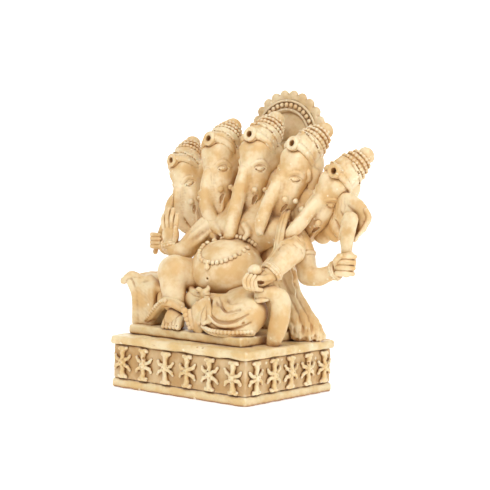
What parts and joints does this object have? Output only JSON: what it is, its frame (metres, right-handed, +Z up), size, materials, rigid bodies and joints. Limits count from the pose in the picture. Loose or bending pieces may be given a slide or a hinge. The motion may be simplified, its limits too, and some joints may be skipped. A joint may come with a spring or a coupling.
{
  "type": "ganesha idol",
  "caption": "Cast ivory-coloured resin figure of a seated, many-headed Ganesha on a stepped plinth with a rosette frieze, with a beaded halo; stands on a shelf or altar",
  "frame": {"origin": "centre of the plinth's bottom face, which rests on the shelf", "axes": "+Z up, +Y towards the back, +X to the viewer's right"},
  "size_m": [0.1081, 0.075, 0.1285],
  "materials": {
    "resin_skin": "satin cast resin, ivory coloured, with an orange-brown stain left in the hollows",
    "resin_cloth": "satin cast resin, ivory coloured, darker stain between the folds and dusty on upward faces",
    "resin_ornament": "satin cast resin, ivory coloured, rubbed pale on the beads' tops",
    "resin_halo": "satin cast resin, ivory coloured, stained round the beads",
    "resin_plinth": "satin cast resin, ivory coloured, yellower on the courses' edges, with casting pits"
  },
  "bodies": {
    "root": {"ankle_hem": "resin_cloth", "back_drapery": "resin_cloth", "bracelets": "resin_ornament", "brow_knobs": "resin_ornament", "crown_1": "resin_ornament", "crown_2": "resin_ornament", "crown_3": "resin_ornament", "crown_4": "resin_ornament", "crown_5": "resin_ornament", "dhoti_hem": "resin_cloth", "dhoti_pleat": "resin_cloth", "ear_drops": "resin_ornament", "ears": "resin_skin", "goad": "resin_ornament", "halo_beads": "resin_halo", "halo_disc": "resin_halo", "halo_rim": "resin_halo", "halo_rings": "resin_halo", "head_1": "resin_skin", "head_2": "resin_skin", "head_3": "resin_skin", "head_4": "resin_skin", "head_5": "resin_skin", "left_foot": "resin_skin", "left_front_arm": "resin_skin", "left_front_hand": "resin_skin", "left_leg": "resin_skin", "left_rear_arm": "resin_skin", "left_rear_hand": "resin_skin", "lotus": "resin_ornament", "necklace": "resin_ornament", "pendant": "resin_ornament", "plinth_cornice": "resin_plinth", "plinth_dado": "resin_plinth", "plinth_foot": "resin_plinth", "right_foot": "resin_skin", "right_front_arm": "resin_skin", "right_front_hand": "resin_skin", "right_leg": "resin_skin", "right_rear_arm": "resin_skin", "right_rear_hand": "resin_skin", "rosettes_back": "resin_plinth", "rosettes_front": "resin_plinth", "rosettes_left": "resin_plinth", "rosettes_right": "resin_plinth", "seat_arm_left": "resin_cloth", "seat_arm_right": "resin_cloth", "seat_board": "resin_plinth", "shoulder_sash": "resin_cloth", "sweet": "resin_ornament", "torso": "resin_skin", "trunk_1": "resin_skin", "trunk_2": "resin_skin", "trunk_3": "resin_skin", "trunk_4": "resin_skin", "trunk_5": "resin_skin", "tusks": "resin_ornament", "waist_sash": "resin_cloth"}
  },
  "joints": []
}
